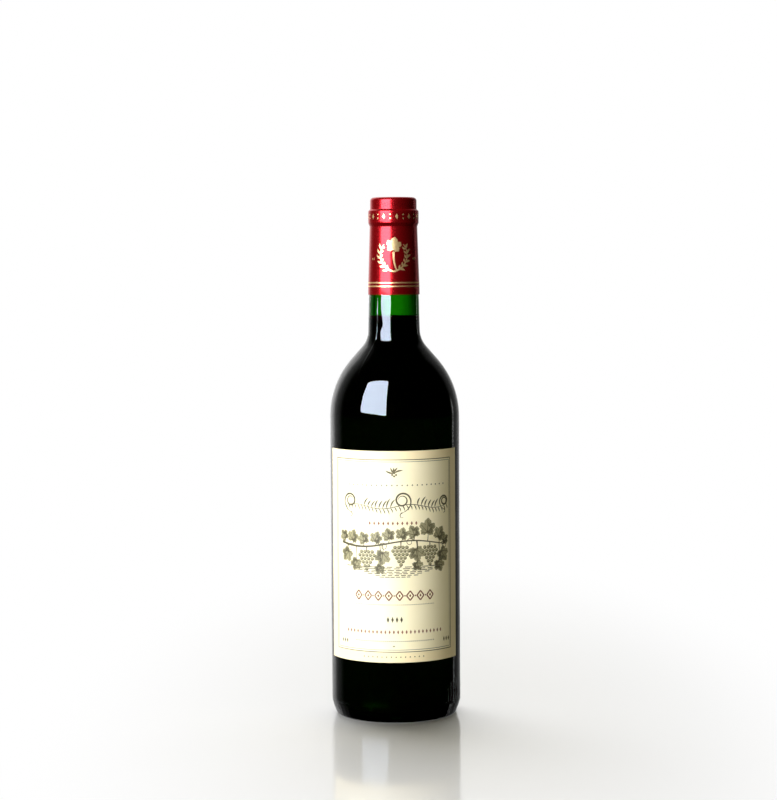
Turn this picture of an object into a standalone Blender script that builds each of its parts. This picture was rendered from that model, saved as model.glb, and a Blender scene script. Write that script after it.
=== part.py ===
# A 75 cl wine bottle of the straight-sided, high-shouldered kind, standing full and shut.
#
# Four pieces: the green glass bottle with its hollow foot, the red wine in it, the foil
# capsule over its mouth, and the paper label on its front. Metres, +Z up. The origin is on
# the bottle's axis, on the surface that it stands on, and the label faces -Y.

import math

import bmesh
import bpy
from mathutils import Vector

# Driving dimensions of the glass, as radii and heights above the table.
BODY_RADIUS = 0.0375
HEEL_HEIGHT = 0.0088
FOOT_OUTER_RADIUS = 0.0348
FOOT_INNER_RADIUS = 0.0280
FOOT_ROUNDING = 0.0020
PUNT_DEPTH = 0.014
PUNT_CROWN_RADIUS = 0.017
PUNT_ROUNDING = 0.024
SHOULDER_HEIGHT = 0.1926
SHOULDER_ROUNDING = 0.0506
NECK_START_RADIUS = 0.01515
NECK_START_HEIGHT = 0.2181
NECK_FILLET = 0.0144
COVERED_NECK_RADIUS = 0.01442
RING_RADIUS = 0.0140
RING_BOTTOM = 0.2858
RING_TOP = 0.2919
RING_NECK_RADIUS = 0.0132
LIP_RADIUS = 0.01285
LIP_TOP = 0.29945
FINISH_ROUNDING = 0.0008
MOUTH_ROUNDING = 0.0014

# The hollow inside the glass.
BORE_RADIUS = 0.00925
BORE_WIDE_RADIUS = 0.0106
BORE_WIDE_HEIGHT = 0.2500
WALL = 0.0026
INNER_NECK_RADIUS = 0.0116
INNER_NECK_HEIGHT = 0.2175
INNER_NECK_FILLET = 0.0174
BASE_THICKNESS = 0.0040
INNER_HEEL_ROUNDING = 0.0045

# The wine.
WINE_LEVEL = 0.2310
GAP = 0.0003

# The foil capsule's outside.
CAPSULE_TOP = 0.3000
CAPSULE_LOWER_EDGE = 0.2440
CAPSULE_EDGE_RADIUS = 0.01493
CAPSULE_EDGE_BAND = 0.0025
CAPSULE_WAIST_RADIUS = 0.01375
CAPSULE_WAIST_HEIGHT = 0.2833
CAPSULE_COLLAR_RADIUS = 0.01460
CAPSULE_COLLAR_BOTTOM = 0.2853
CAPSULE_COLLAR_TOP = 0.2922
CAPSULE_LIP_RADIUS = 0.01345
CAPSULE_ROUNDING = 0.0021
COLLAR_ROUNDING = 0.0009
FOIL = 0.00025

# The label: a sheet of paper bent round the body.
LABEL_BOTTOM = 0.0355
LABEL_TOP = 0.1562
LABEL_LEFT_ANGLE = math.radians(-72.5)
LABEL_RIGHT_ANGLE = math.radians(66.0)
LABEL_PAPER = 0.0002

# How finely round shapes are divided.
SEGMENTS = 40
LABEL_SEGMENTS = 20
CHORD_ERROR = 0.00010
SHARP_ANGLE = math.radians(32.0)
MERGE_DISTANCE = 0.000001


def linear(channel):
    """One sRGB channel, 0 to 1, as a linear value."""
    if channel <= 0.04045:
        return channel / 12.92
    return ((channel + 0.055) / 1.055) ** 2.4


def material(name, hex_colour, roughness, metallic=0.0):
    """A plain finish with the colour given as sRGB hex."""
    finish = bpy.data.materials.new(name)
    finish.use_nodes = True
    shader = finish.node_tree.nodes["Principled BSDF"]
    channels = [int(hex_colour[i:i + 2], 16) / 255.0 for i in (0, 2, 4)]
    colour = [linear(channel) for channel in channels]
    shader.inputs["Base Color"].default_value = (*colour, 1.0)
    shader.inputs["Roughness"].default_value = roughness
    shader.inputs["Metallic"].default_value = metallic
    return finish


def arc(before, corner, after, rounding):
    """The points of an arc of radius `rounding` that replaces one corner of an outline."""
    back = (before - corner).normalized()
    ahead = (after - corner).normalized()
    half_angle = back.angle(ahead) / 2.0
    centre = corner + (back + ahead).normalized() * (rounding / math.sin(half_angle))
    start = corner + back * (rounding / math.tan(half_angle)) - centre
    turn = start.angle_signed(corner + ahead * (rounding / math.tan(half_angle)) - centre)
    step_angle = 2.0 * math.acos(1.0 - CHORD_ERROR / rounding)
    steps = max(2, math.ceil(abs(turn) / step_angle))
    points = []
    for step in range(steps + 1):
        angle = -turn * step / steps
        across = start.x * math.cos(angle) - start.y * math.sin(angle)
        up = start.x * math.sin(angle) + start.y * math.cos(angle)
        points.append(centre + Vector((across, up)))
    return points


def outline(corners):
    """Turn (radius, height, rounding) corners into points, with an arc at each rounded one."""
    places = [Vector((radius, height)) for radius, height, _ in corners]
    points = [places[0]]
    for index in range(1, len(corners) - 1):
        rounding = corners[index][2]
        if rounding:
            points += arc(places[index - 1], places[index], places[index + 1], rounding)
        else:
            points.append(places[index])
    points.append(places[-1])
    return points


def moved_in(points, distance):
    """An outline moved sideways, to the left of its own direction, by one distance."""
    moved = []
    for index, point in enumerate(points):
        back = (point - points[max(index - 1, 0)]).normalized()
        ahead = (points[min(index + 1, len(points) - 1)] - point).normalized()
        along = (back + ahead).normalized()
        side = Vector((-along.y, along.x))
        widening = along.dot(ahead if ahead.length else back)
        place = point + side * (distance / widening)
        moved.append(Vector((max(place.x, 0.0), place.y)))
    return moved


def turned(name, points, finish):
    """Spin a half section round the bottle's axis into one closed, smooth-shaded solid."""
    shape = bmesh.new()
    verts = [shape.verts.new((point.x, 0.0, point.y)) for point in points]
    sides = zip(verts, verts[1:] + verts[:1])
    edges = [shape.edges.new(ends) for ends in sides if ends[0].co.x > 0.0 or ends[1].co.x > 0.0]
    bmesh.ops.spin(shape, geom=verts + edges, cent=(0.0, 0.0, 0.0), axis=(0.0, 0.0, 1.0),
                   angle=2.0 * math.pi, steps=SEGMENTS, use_merge=True)
    return finished(name, shape, finish)


def finished(name, shape, finish):
    """Close a bmesh up, turn its faces outwards and make it a named object."""
    bmesh.ops.remove_doubles(shape, verts=shape.verts, dist=MERGE_DISTANCE)
    bmesh.ops.recalc_face_normals(shape, faces=shape.faces)
    mesh = bpy.data.meshes.new(name)
    shape.to_mesh(mesh)
    shape.free()
    mesh.shade_smooth()
    mesh.set_sharp_from_angle(angle=SHARP_ANGLE)
    mesh.materials.append(finish)
    piece = bpy.data.objects.new(name, mesh)
    bpy.context.scene.collection.objects.link(piece)
    return piece


def punt(lift):
    """The domed foot's corners from the axis out to the foot ring, raised by `lift`."""
    return [
        (0.0, PUNT_DEPTH + lift, 0.0),
        (PUNT_CROWN_RADIUS, PUNT_DEPTH + lift, PUNT_ROUNDING),
    ]


def inside_of_glass():
    """The hollow's half section, from the middle of its floor up to the mouth."""
    radius = BODY_RADIUS - WALL
    lean = math.atan2(BODY_RADIUS - NECK_START_RADIUS, NECK_START_HEIGHT - SHOULDER_HEIGHT)
    shoulder = SHOULDER_HEIGHT - WALL * math.tan(lean / 2.0)
    corners = punt(BASE_THICKNESS) + [
        (FOOT_INNER_RADIUS, BASE_THICKNESS, FOOT_ROUNDING),
        (radius, BASE_THICKNESS, INNER_HEEL_ROUNDING),
        (radius, shoulder, SHOULDER_ROUNDING - WALL),
        (INNER_NECK_RADIUS, INNER_NECK_HEIGHT, INNER_NECK_FILLET),
        (BORE_WIDE_RADIUS, BORE_WIDE_HEIGHT, 0.0),
        (BORE_RADIUS, LIP_TOP - MOUTH_ROUNDING, 0.0),
        (BORE_RADIUS, LIP_TOP, MOUTH_ROUNDING / 2.0),
        (LIP_RADIUS, LIP_TOP, 0.0),
    ]
    return outline(corners)[:-1]


def outside_of_glass():
    """The outer half section, from the middle of the hollow foot up to the mouth."""
    corners = punt(0.0) + [
        (FOOT_INNER_RADIUS, 0.0, FOOT_ROUNDING),
        (FOOT_OUTER_RADIUS, 0.0, FOOT_ROUNDING),
        (BODY_RADIUS, HEEL_HEIGHT, 0.0),
        (BODY_RADIUS, SHOULDER_HEIGHT, SHOULDER_ROUNDING),
        (NECK_START_RADIUS, NECK_START_HEIGHT, NECK_FILLET),
        (COVERED_NECK_RADIUS, CAPSULE_LOWER_EDGE, 0.0),
        (RING_NECK_RADIUS, RING_BOTTOM - FINISH_ROUNDING, FINISH_ROUNDING),
        (RING_RADIUS, RING_BOTTOM, FINISH_ROUNDING),
        (RING_RADIUS, RING_TOP, FINISH_ROUNDING),
        (LIP_RADIUS, RING_TOP + FINISH_ROUNDING, FINISH_ROUNDING),
        (LIP_RADIUS, LIP_TOP, MOUTH_ROUNDING),
        (BORE_RADIUS + MOUTH_ROUNDING, LIP_TOP, 0.0),
    ]
    return outline(corners)


def build_bottle():
    """Moulded green glass, hollow from its mouth down to its domed foot."""
    glass = material("green bottle glass", "1C3A12", 0.05)
    points = outside_of_glass() + list(reversed(inside_of_glass()))
    return turned("bottle", points, glass)


def build_wine():
    """Red wine that fills the hollow up to a flat surface in the neck."""
    red = material("red wine", "24040A", 0.05)
    walls = moved_in(inside_of_glass(), GAP)
    wetted = [point for point in walls if point.y < WINE_LEVEL]
    last = wetted[-1]
    dry = walls[len(wetted)]
    share = (WINE_LEVEL - last.y) / (dry.y - last.y)
    surface = [last.lerp(dry, share), Vector((0.0, WINE_LEVEL))]
    return turned("wine", wetted + surface, red)


def build_capsule():
    """A thin lacquered foil cap, shrunk over the glass finish and down the upper neck."""
    foil = material("crimson foil", "8E0A1E", 0.28, 0.7)
    corners = [
        (CAPSULE_EDGE_RADIUS, CAPSULE_LOWER_EDGE, 0.0),
        (CAPSULE_EDGE_RADIUS, CAPSULE_LOWER_EDGE + CAPSULE_EDGE_BAND, 0.0),
        (CAPSULE_WAIST_RADIUS, CAPSULE_WAIST_HEIGHT, COLLAR_ROUNDING),
        (CAPSULE_COLLAR_RADIUS, CAPSULE_COLLAR_BOTTOM, COLLAR_ROUNDING),
        (CAPSULE_COLLAR_RADIUS, CAPSULE_COLLAR_TOP, COLLAR_ROUNDING),
        (CAPSULE_LIP_RADIUS, CAPSULE_COLLAR_TOP + COLLAR_ROUNDING, COLLAR_ROUNDING),
        (CAPSULE_LIP_RADIUS, CAPSULE_TOP, CAPSULE_ROUNDING),
        (0.0, CAPSULE_TOP, 0.0),
    ]
    outside = outline(corners)
    inside = moved_in(outside, FOIL)
    return turned("capsule", outside + list(reversed(inside)), foil)


def build_label():
    """A rectangle of cream paper wrapped round the front of the body."""
    paper = material("cream label paper", "F2EDD8", 0.75)
    inner = BODY_RADIUS + GAP
    outer = inner + LABEL_PAPER
    front = -math.pi / 2.0
    start = front + LABEL_LEFT_ANGLE
    shape = bmesh.new()
    section = [(inner, LABEL_BOTTOM), (outer, LABEL_BOTTOM), (outer, LABEL_TOP), (inner, LABEL_TOP)]
    verts = [shape.verts.new((radius * math.cos(start), radius * math.sin(start), height))
             for radius, height in section]
    face = shape.faces.new(verts)
    bmesh.ops.spin(shape, geom=[face], cent=(0.0, 0.0, 0.0), axis=(0.0, 0.0, 1.0),
                   angle=LABEL_RIGHT_ANGLE - LABEL_LEFT_ANGLE, steps=LABEL_SEGMENTS)
    return finished("front_label", shape, paper)


for leftover in list(bpy.data.objects):
    bpy.data.objects.remove(leftover)
build_bottle()
build_wine()
build_capsule()
build_label()
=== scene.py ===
import math
import random

import bmesh
import bpy
from mathutils import Matrix, Vector


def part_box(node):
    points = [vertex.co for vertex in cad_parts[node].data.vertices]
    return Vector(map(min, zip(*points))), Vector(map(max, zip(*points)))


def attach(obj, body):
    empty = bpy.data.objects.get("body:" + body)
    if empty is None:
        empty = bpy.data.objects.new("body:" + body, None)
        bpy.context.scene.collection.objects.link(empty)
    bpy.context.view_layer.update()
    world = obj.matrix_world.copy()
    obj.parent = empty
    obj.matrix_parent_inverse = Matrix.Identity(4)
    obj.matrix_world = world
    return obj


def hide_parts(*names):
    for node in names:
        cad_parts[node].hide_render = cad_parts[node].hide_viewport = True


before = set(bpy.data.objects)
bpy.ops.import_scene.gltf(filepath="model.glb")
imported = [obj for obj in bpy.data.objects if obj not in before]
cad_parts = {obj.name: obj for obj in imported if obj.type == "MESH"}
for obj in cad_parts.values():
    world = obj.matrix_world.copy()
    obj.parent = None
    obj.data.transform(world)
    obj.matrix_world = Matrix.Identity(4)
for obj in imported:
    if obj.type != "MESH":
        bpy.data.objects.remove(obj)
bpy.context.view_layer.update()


# The bottle: green container glass, blown in a mould in one piece from its domed foot to
# its mouth. The halves of the mould leave a fine seam up each side; its base plate leaves a
# groove round the heel, short ribs below it and a few raised beads above it.
MM = 0.001
glass_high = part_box("bottle")[1]
BODY_RADIUS = glass_high.x
LIP_TOP = glass_high.z
WALL = 2.6 * MM
FOOT_INNER_RADIUS = 28.0 * MM
FOOT_OUTER_RADIUS = 34.8 * MM
FOOT_ROUNDING = 2.0 * MM
PUNT_DEPTH = 14.0 * MM
PUNT_CROWN_RADIUS = 17.0 * MM
PUNT_ROUNDING = 24.0 * MM
HEEL_HEIGHT = 8.8 * MM
HEEL_ROUNDING = 0.5 * MM
GROOVE_DEPTH = 0.22 * MM
GROOVE_HEIGHT = 1.1 * MM
SHOULDER_HEIGHT = 192.6 * MM
SHOULDER_ROUNDING = 50.6 * MM
NECK_START_RADIUS = 15.15 * MM
NECK_START_HEIGHT = 218.1 * MM
NECK_FILLET = 14.4 * MM
COVERED_NECK_RADIUS = 14.42 * MM
COVERED_NECK_HEIGHT = 244.0 * MM
RING_RADIUS = 14.0 * MM
RING_BOTTOM = 285.8 * MM
RING_TOP = 291.9 * MM
RING_NECK_RADIUS = 13.2 * MM
LIP_RADIUS = 12.85 * MM
FINISH_ROUNDING = 0.8 * MM
MOUTH_ROUNDING = 1.4 * MM
BASE_THICKNESS = 4.0 * MM
INNER_HEEL_ROUNDING = 4.5 * MM
INNER_NECK_RADIUS = 11.6 * MM
INNER_NECK_HEIGHT = 217.5 * MM
INNER_NECK_FILLET = 17.4 * MM
BORE_WIDE_RADIUS = 10.6 * MM
BORE_WIDE_HEIGHT = 250.0 * MM
BORE_RADIUS = 9.25 * MM

ARC_SAG = 0.01 * MM
LONGEST_RUN = 5.0 * MM
MERGE_DISTANCE = 0.001 * MM
SHARP_ANGLE = math.radians(40.0)
COLUMN = math.radians(1.5)
FINE_COLUMN = math.radians(0.5)

SEAM_AZIMUTH = math.radians(-41.5)
SEAM_STRETCH = math.radians(6.0)
SEAM_WIDTH = 0.6 * MM
SEAM_RISE = 0.07 * MM
NECK_SEAM_RISE = 0.14 * MM
BEADED_AZIMUTH = math.radians(58.0)
BEADED_STRETCH = math.radians(30.0)
BEAD_HEIGHT = 15.0 * MM
BEAD_RADIUS = 0.9 * MM
BEAD_RISE = 0.35 * MM
BEADS = 6
RIBS = 60
RIB_RISE = 0.16 * MM
RIB_HEIGHTS = (1.6 * MM, 5.0 * MM)
STIPPLE_DEPTH = 0.25 * MM

# Ovalness and swell of blown glass: lobes round it, wavelength up it, start, rise on the
# body and rise on the neck.
SWELLS = [
    (2, 95.0 * MM, 0.4, 0.030 * MM, 0.080 * MM),
    (3, 41.0 * MM, 2.1, 0.020 * MM, 0.045 * MM),
    (5, 23.0 * MM, 4.0, 0.008 * MM, 0.026 * MM),
]
SWELL_BOTTOM = 12.0 * MM
SWELL_FADE = 6.0 * MM


def arc(before, corner, after, rounding):
    """The points of an arc of radius `rounding` that replaces one corner of an outline."""
    back = (before - corner).normalized()
    ahead = (after - corner).normalized()
    half_angle = back.angle(ahead) / 2.0
    centre = corner + (back + ahead).normalized() * (rounding / math.sin(half_angle))
    start = corner + back * (rounding / math.tan(half_angle)) - centre
    turn = start.angle_signed(corner + ahead * (rounding / math.tan(half_angle)) - centre)
    step_angle = 2.0 * math.acos(1.0 - ARC_SAG / rounding)
    steps = max(3, math.ceil(abs(turn) / step_angle))
    return [centre + Matrix.Rotation(-turn * step / steps, 2) @ start for step in range(steps + 1)]


def outline(corners, longest=LONGEST_RUN):
    """Turn (radius, height, rounding) corners into points, with no run over `longest`."""
    places = [Vector((radius, height)) for radius, height, _ in corners]
    turns = [places[0]]
    for index in range(1, len(corners) - 1):
        rounding = corners[index][2]
        if rounding:
            turns += arc(places[index - 1], places[index], places[index + 1], rounding)
        else:
            turns.append(places[index])
    turns.append(places[-1])
    points = [turns[0]]
    for here, there in zip(turns, turns[1:]):
        parts = max(1, math.ceil((there - here).length / longest))
        points += [here.lerp(there, part / parts) for part in range(1, parts + 1)]
    return points


def shifted(points, distance):
    """An outline moved sideways, to the right of its direction, and kept off the axis."""
    moved = []
    for index, point in enumerate(points):
        back = points[max(index - 1, 0)]
        ahead = points[min(index + 1, len(points) - 1)]
        along = (ahead - back).normalized()
        place = point + Vector((along.y, -along.x)) * distance
        moved.append(Vector((max(place.x, 0.0), place.y)))
    return moved


def stood_up(shape, points, azimuth):
    """An outline's points as vertices, in the upright plane at an azimuth."""
    return [shape.verts.new((point.x * math.sin(azimuth), -point.x * math.cos(azimuth), point.y))
            for point in points]


def turned(shape, points, stretches, start=0.0):
    """Spin an outline round the bottle's axis, from azimuth `start`, in (angle, step) pieces."""
    verts = stood_up(shape, points, start)
    edges = [shape.edges.new(pair) for pair in zip(verts, verts[1:])]
    swept = verts + edges
    for angle, step in stretches:
        made = bmesh.ops.spin(shape, geom=swept, cent=(0.0, 0.0, 0.0), axis=(0.0, 0.0, 1.0),
                              angle=angle, steps=math.ceil(angle / step))
        swept = made["geom_last"]


def placed(name, shape, finish):
    """Make an object of a bmesh, with its finish, and put it in the scene."""
    mesh = bpy.data.meshes.new(name)
    shape.to_mesh(mesh)
    shape.free()
    mesh.materials.append(finish)
    piece = bpy.data.objects.new(name, mesh)
    bpy.context.scene.collection.objects.link(piece)
    return piece


def finished(name, shape, finish):
    """Close a bmesh up, turn its faces outwards and make it a smooth-shaded object."""
    bmesh.ops.remove_doubles(shape, verts=shape.verts, dist=MERGE_DISTANCE)
    bmesh.ops.dissolve_degenerate(shape, edges=shape.edges, dist=MERGE_DISTANCE)
    bmesh.ops.recalc_face_normals(shape, faces=shape.faces)
    piece = placed(name, shape, finish)
    piece.data.shade_smooth()
    piece.data.set_sharp_from_angle(angle=SHARP_ANGLE)
    return piece


def colour(hex_colour):
    """An sRGB hex colour as linear red, green, blue and an alpha of 1."""
    channels = [int(hex_colour[i:i + 2], 16) / 255.0 for i in (0, 2, 4)]
    return (*[c / 12.92 if c <= 0.04045 else ((c + 0.055) / 1.055) ** 2.4 for c in channels], 1.0)


def feed(tree, target, inputs):
    """Give a node's sockets, found by name or number, values or links from other nodes."""
    for socket, given in inputs.items():
        if isinstance(given, bpy.types.NodeSocket):
            tree.links.new(given, target.inputs[socket])
        else:
            target.inputs[socket].default_value = given


def node(tree, kind, inputs=None, **settings):
    """Add a node with its settings and with what its sockets get."""
    made = tree.nodes.new("ShaderNode" + kind)
    for name, setting in settings.items():
        setattr(made, name, setting)
    feed(tree, made, inputs or {})
    return made


def new_finish(name, **values):
    """A material, its node tree, its shader, whose sockets are set by name, and its coordinates."""
    finish = bpy.data.materials.new(name)
    finish.use_nodes = True
    tree = finish.node_tree
    shader = tree.nodes["Principled BSDF"]
    for socket, value in values.items():
        shader.inputs[socket.replace("_", " ")].default_value = value
    return finish, tree, shader, node(tree, "TexCoord").outputs["Object"]


def noise(tree, place, size, detail=2.0):
    """The strength of a noise pattern whose features are `size` across."""
    pattern = node(tree, "TexNoise", {"Scale": 1.0 / size, "Detail": detail, "Vector": place})
    return pattern.outputs["Fac"]


def two_tones(tree, share, first, second):
    """A colour between two linear ones, the second where the share is high."""
    mixed = node(tree, "Mix", {"Factor": share, "A": first, "B": second}, data_type="RGBA")
    return mixed.outputs["Result"]


def between(tree, value, low, high, start=0.0, end=1.0):
    """A value's share of the way from `start` to `end`, spread from `low` to `high`."""
    spread = node(tree, "MapRange", {"Value": value, "From Min": start, "From Max": end,
                                     "To Min": low, "To Max": high})
    return spread.outputs["Result"]


def bumps(tree, height, strength, rise):
    """Normals for a fine relief that is too small for the mesh."""
    return node(tree, "Bump", {"Strength": strength, "Distance": rise, "Height": height}).outputs["Normal"]


def punt(lift):
    """The domed foot's corners, from the axis outwards, raised by `lift`."""
    return [(0.0, PUNT_DEPTH + lift, 0.0), (PUNT_CROWN_RADIUS, PUNT_DEPTH + lift, PUNT_ROUNDING)]


def glass_outside():
    """The outer outline, from the middle of the hollow foot up to the mouth."""
    groove = HEEL_HEIGHT + GROOVE_HEIGHT
    return outline(punt(0.0) + [
        (FOOT_INNER_RADIUS, 0.0, FOOT_ROUNDING),
        (FOOT_OUTER_RADIUS, 0.0, FOOT_ROUNDING),
        (BODY_RADIUS, HEEL_HEIGHT - HEEL_ROUNDING, HEEL_ROUNDING),
        (BODY_RADIUS, HEEL_HEIGHT, 0.0),
        (BODY_RADIUS - GROOVE_DEPTH, HEEL_HEIGHT + GROOVE_DEPTH, 0.0),
        (BODY_RADIUS - GROOVE_DEPTH, groove, 0.0),
        (BODY_RADIUS, groove + GROOVE_DEPTH, 0.0),
        (BODY_RADIUS, SHOULDER_HEIGHT, SHOULDER_ROUNDING),
        (NECK_START_RADIUS, NECK_START_HEIGHT, NECK_FILLET),
        (COVERED_NECK_RADIUS, COVERED_NECK_HEIGHT, 0.0),
        (RING_NECK_RADIUS, RING_BOTTOM - FINISH_ROUNDING, FINISH_ROUNDING),
        (RING_RADIUS, RING_BOTTOM, FINISH_ROUNDING),
        (RING_RADIUS, RING_TOP, FINISH_ROUNDING),
        (LIP_RADIUS, RING_TOP + FINISH_ROUNDING, FINISH_ROUNDING),
        (LIP_RADIUS, LIP_TOP, MOUTH_ROUNDING),
        (BORE_RADIUS + MOUTH_ROUNDING, LIP_TOP, 0.0),
    ])


def glass_inside():
    """The hollow's outline, from the middle of its floor up to the mouth."""
    radius = BODY_RADIUS - WALL
    lean = math.atan2(BODY_RADIUS - NECK_START_RADIUS, NECK_START_HEIGHT - SHOULDER_HEIGHT)
    return outline(punt(BASE_THICKNESS) + [
        (FOOT_INNER_RADIUS, BASE_THICKNESS, FOOT_ROUNDING),
        (radius, BASE_THICKNESS, INNER_HEEL_ROUNDING),
        (radius, SHOULDER_HEIGHT - WALL * math.tan(lean / 2.0), SHOULDER_ROUNDING - WALL),
        (INNER_NECK_RADIUS, INNER_NECK_HEIGHT, INNER_NECK_FILLET),
        (BORE_WIDE_RADIUS, BORE_WIDE_HEIGHT, 0.0),
        (BORE_RADIUS, LIP_TOP - MOUTH_ROUNDING, 0.0),
        (BORE_RADIUS, LIP_TOP, MOUTH_ROUNDING),
        (BORE_RADIUS + MOUTH_ROUNDING, LIP_TOP, 0.0),
    ])


def ramp(value, low, high):
    """0 below `low`, 1 above `high`, and smooth in between."""
    share = min(max((value - low) / (high - low), 0.0), 1.0)
    return share * share * (3.0 - 2.0 * share)


def swell(azimuth, height):
    """How far blown glass stands out of true at a place, less near the heel and the capsule."""
    neck = ramp(height, SHOULDER_HEIGHT, NECK_START_HEIGHT)
    rise = 0.0
    for lobes, wavelength, start, body_rise, neck_rise in SWELLS:
        wave = math.sin(lobes * azimuth + math.tau * height / wavelength + start)
        rise += wave * (body_rise + (neck_rise - body_rise) * neck)
    low_end = ramp(height, SWELL_BOTTOM, SWELL_BOTTOM + SWELL_FADE)
    return rise * low_end * ramp(-height, -COVERED_NECK_HEIGHT, -COVERED_NECK_HEIGHT + SWELL_FADE)


def seam(azimuth, radius, height):
    """The rise of the two mould seams, higher on the neck, faded out at the heel."""
    aside = (azimuth - SEAM_AZIMUTH + math.pi / 2.0) % math.pi - math.pi / 2.0
    neck = ramp(height, SHOULDER_HEIGHT, NECK_START_HEIGHT)
    rise = SEAM_RISE + (NECK_SEAM_RISE - SEAM_RISE) * neck
    rise *= math.exp(-(aside * radius / SEAM_WIDTH * 2.0) ** 2)
    return rise * ramp(height, HEEL_HEIGHT, SWELL_BOTTOM)


def beads(azimuth, height):
    """The raised beads in a row above the heel."""
    pitch = BEADED_STRETCH / (BEADS + 1)
    nearest = round((azimuth - BEADED_AZIMUTH) / pitch - 0.5) + 0.5
    if abs(nearest) > BEADS / 2.0:
        return 0.0
    aside = (azimuth - BEADED_AZIMUTH - nearest * pitch) * BODY_RADIUS
    share = math.hypot(aside, height - BEAD_HEIGHT) / BEAD_RADIUS
    return BEAD_RISE * max(0.0, 1.0 - share * share)


def mark_mould(shape):
    """Move the outside of the glass by its swell, seams, beads, heel ribs and foot stipples."""
    for vert in shape.verts:
        radius = math.hypot(vert.co.x, vert.co.y)
        height = vert.co.z
        if radius < FOOT_INNER_RADIUS and height < SHOULDER_HEIGHT:
            continue
        azimuth = math.atan2(vert.co.x, -vert.co.y)
        rib = 0.5 + 0.5 * math.cos(RIBS * azimuth)
        rise = swell(azimuth, height) + beads(azimuth, height)
        if height < COVERED_NECK_HEIGHT:
            rise += seam(azimuth, radius, height)
        if RIB_HEIGHTS[0] < height < RIB_HEIGHTS[1]:
            rise += rib * RIB_RISE
        if height < STIPPLE_DEPTH:
            vert.co.z += (1.0 - rib) * STIPPLE_DEPTH
        vert.co.x *= 1.0 + rise / radius
        vert.co.y *= 1.0 + rise / radius


glass_green, tree, shader, place = new_finish(
    "moulded green container glass", Base_Color=(1.0, 1.0, 1.0, 1.0), IOR=1.52,
    Transmission_Weight=1.0)
# Absorption per metre of this green: red 738, green 275, blue 1010.
GREEN_TINT = (0.269, 0.728, 0.0, 1.0)
GREEN_DENSITY = 1010.0
body = node(tree, "VolumeAbsorption", {"Color": GREEN_TINT, "Density": GREEN_DENSITY})
feed(tree, tree.nodes["Material Output"], {"Volume": body.outputs["Volume"]})
# Handling leaves faint smears, 25 mm across, and the mould a shallow ripple, 9 mm across.
smears = noise(tree, place, 25.0 * MM, 4.0)
ripple = noise(tree, place, 9.0 * MM, 1.0)
feed(tree, shader, {"Roughness": between(tree, smears, 0.008, 0.03, 0.35, 0.75),
                    "Normal": bumps(tree, ripple, 0.12, 0.05 * MM)})

shape = bmesh.new()
half_turn = [
    (SEAM_STRETCH, FINE_COLUMN),
    (BEADED_AZIMUTH - BEADED_STRETCH / 2.0 - SEAM_AZIMUTH - SEAM_STRETCH / 2.0, COLUMN),
    (BEADED_STRETCH, FINE_COLUMN),
]
half_turn.append((math.pi - sum(angle for angle, step in half_turn), COLUMN))
columns = half_turn + [(SEAM_STRETCH, FINE_COLUMN), (math.pi - SEAM_STRETCH, COLUMN)]
first_column = SEAM_AZIMUTH - SEAM_STRETCH / 2.0
turned(shape, glass_outside(), columns, first_column)
mark_mould(shape)
turned(shape, glass_inside(), columns, first_column)
bottle_glass = finished("bottle_glass", shape, glass_green)
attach(bottle_glass, "root")
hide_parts("bottle")


# The drink: red wine, which fills the bottle up to the lower part of the neck. It wets the
# glass, so its skin lies just inside the wall, and its edge creeps up the glass a little.
WINE_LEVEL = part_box("wine")[1].z
WETTING = 0.08 * MM
CREEP_HEIGHT = 0.9 * MM
CREEP_WIDTH = 1.4 * MM
CREEP_STEPS = 8
THIN_EDGE = 2.0 * MM
WINE_COLUMN = math.radians(3.0)


def wine_outline():
    """The inside of the glass moved just into its wall, shut by the surface of the wine."""
    walls = shifted(glass_inside(), WETTING)
    top = WINE_LEVEL + CREEP_HEIGHT
    wetted = [point for point in walls if point.y < top]
    below, above = wetted[-1], walls[len(wetted)]
    rim = below.lerp(above, (top - below.y) / (above.y - below.y))
    surface = []
    for step in range(1, CREEP_STEPS + 1):
        share = step / CREEP_STEPS
        fall = CREEP_HEIGHT * (1.0 - (1.0 - share) ** 3)
        surface.append(Vector((rim.x - CREEP_WIDTH * share, top - fall)))
    return wetted + [rim] + surface + [Vector((0.0, WINE_LEVEL))]


# In the bottle the wine is all but black; the red that its thin edge lets through is painted in as a
# lighter red near the surface.
# Against glass its own gloss nearly vanishes, because both bend light alike.
wine_red, tree, shader, place = new_finish(
    "red wine", IOR=1.34, Roughness=0.03, Specular_IOR_Level=0.1)
axes = node(tree, "SeparateXYZ", {"Vector": place})
# Painted light: the share of lighter red rising to the surface, for light through the thin edge.
painted_edge_light = between(tree, axes.outputs["Z"], 0.0, 1.0, WINE_LEVEL - THIN_EDGE, WINE_LEVEL + CREEP_HEIGHT)
deep = two_tones(tree, noise(tree, place, 30.0 * MM), colour("160306"), colour("1E0408"))
feed(tree, shader, {"Base Color": two_tones(tree, painted_edge_light, deep, colour("5A0712"))})

shape = bmesh.new()
turned(shape, wine_outline(), [(math.tau, WINE_COLUMN)])
red_wine = finished("red_wine", shape, wine_red)
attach(red_wine, "root")
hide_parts("wine")


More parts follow.
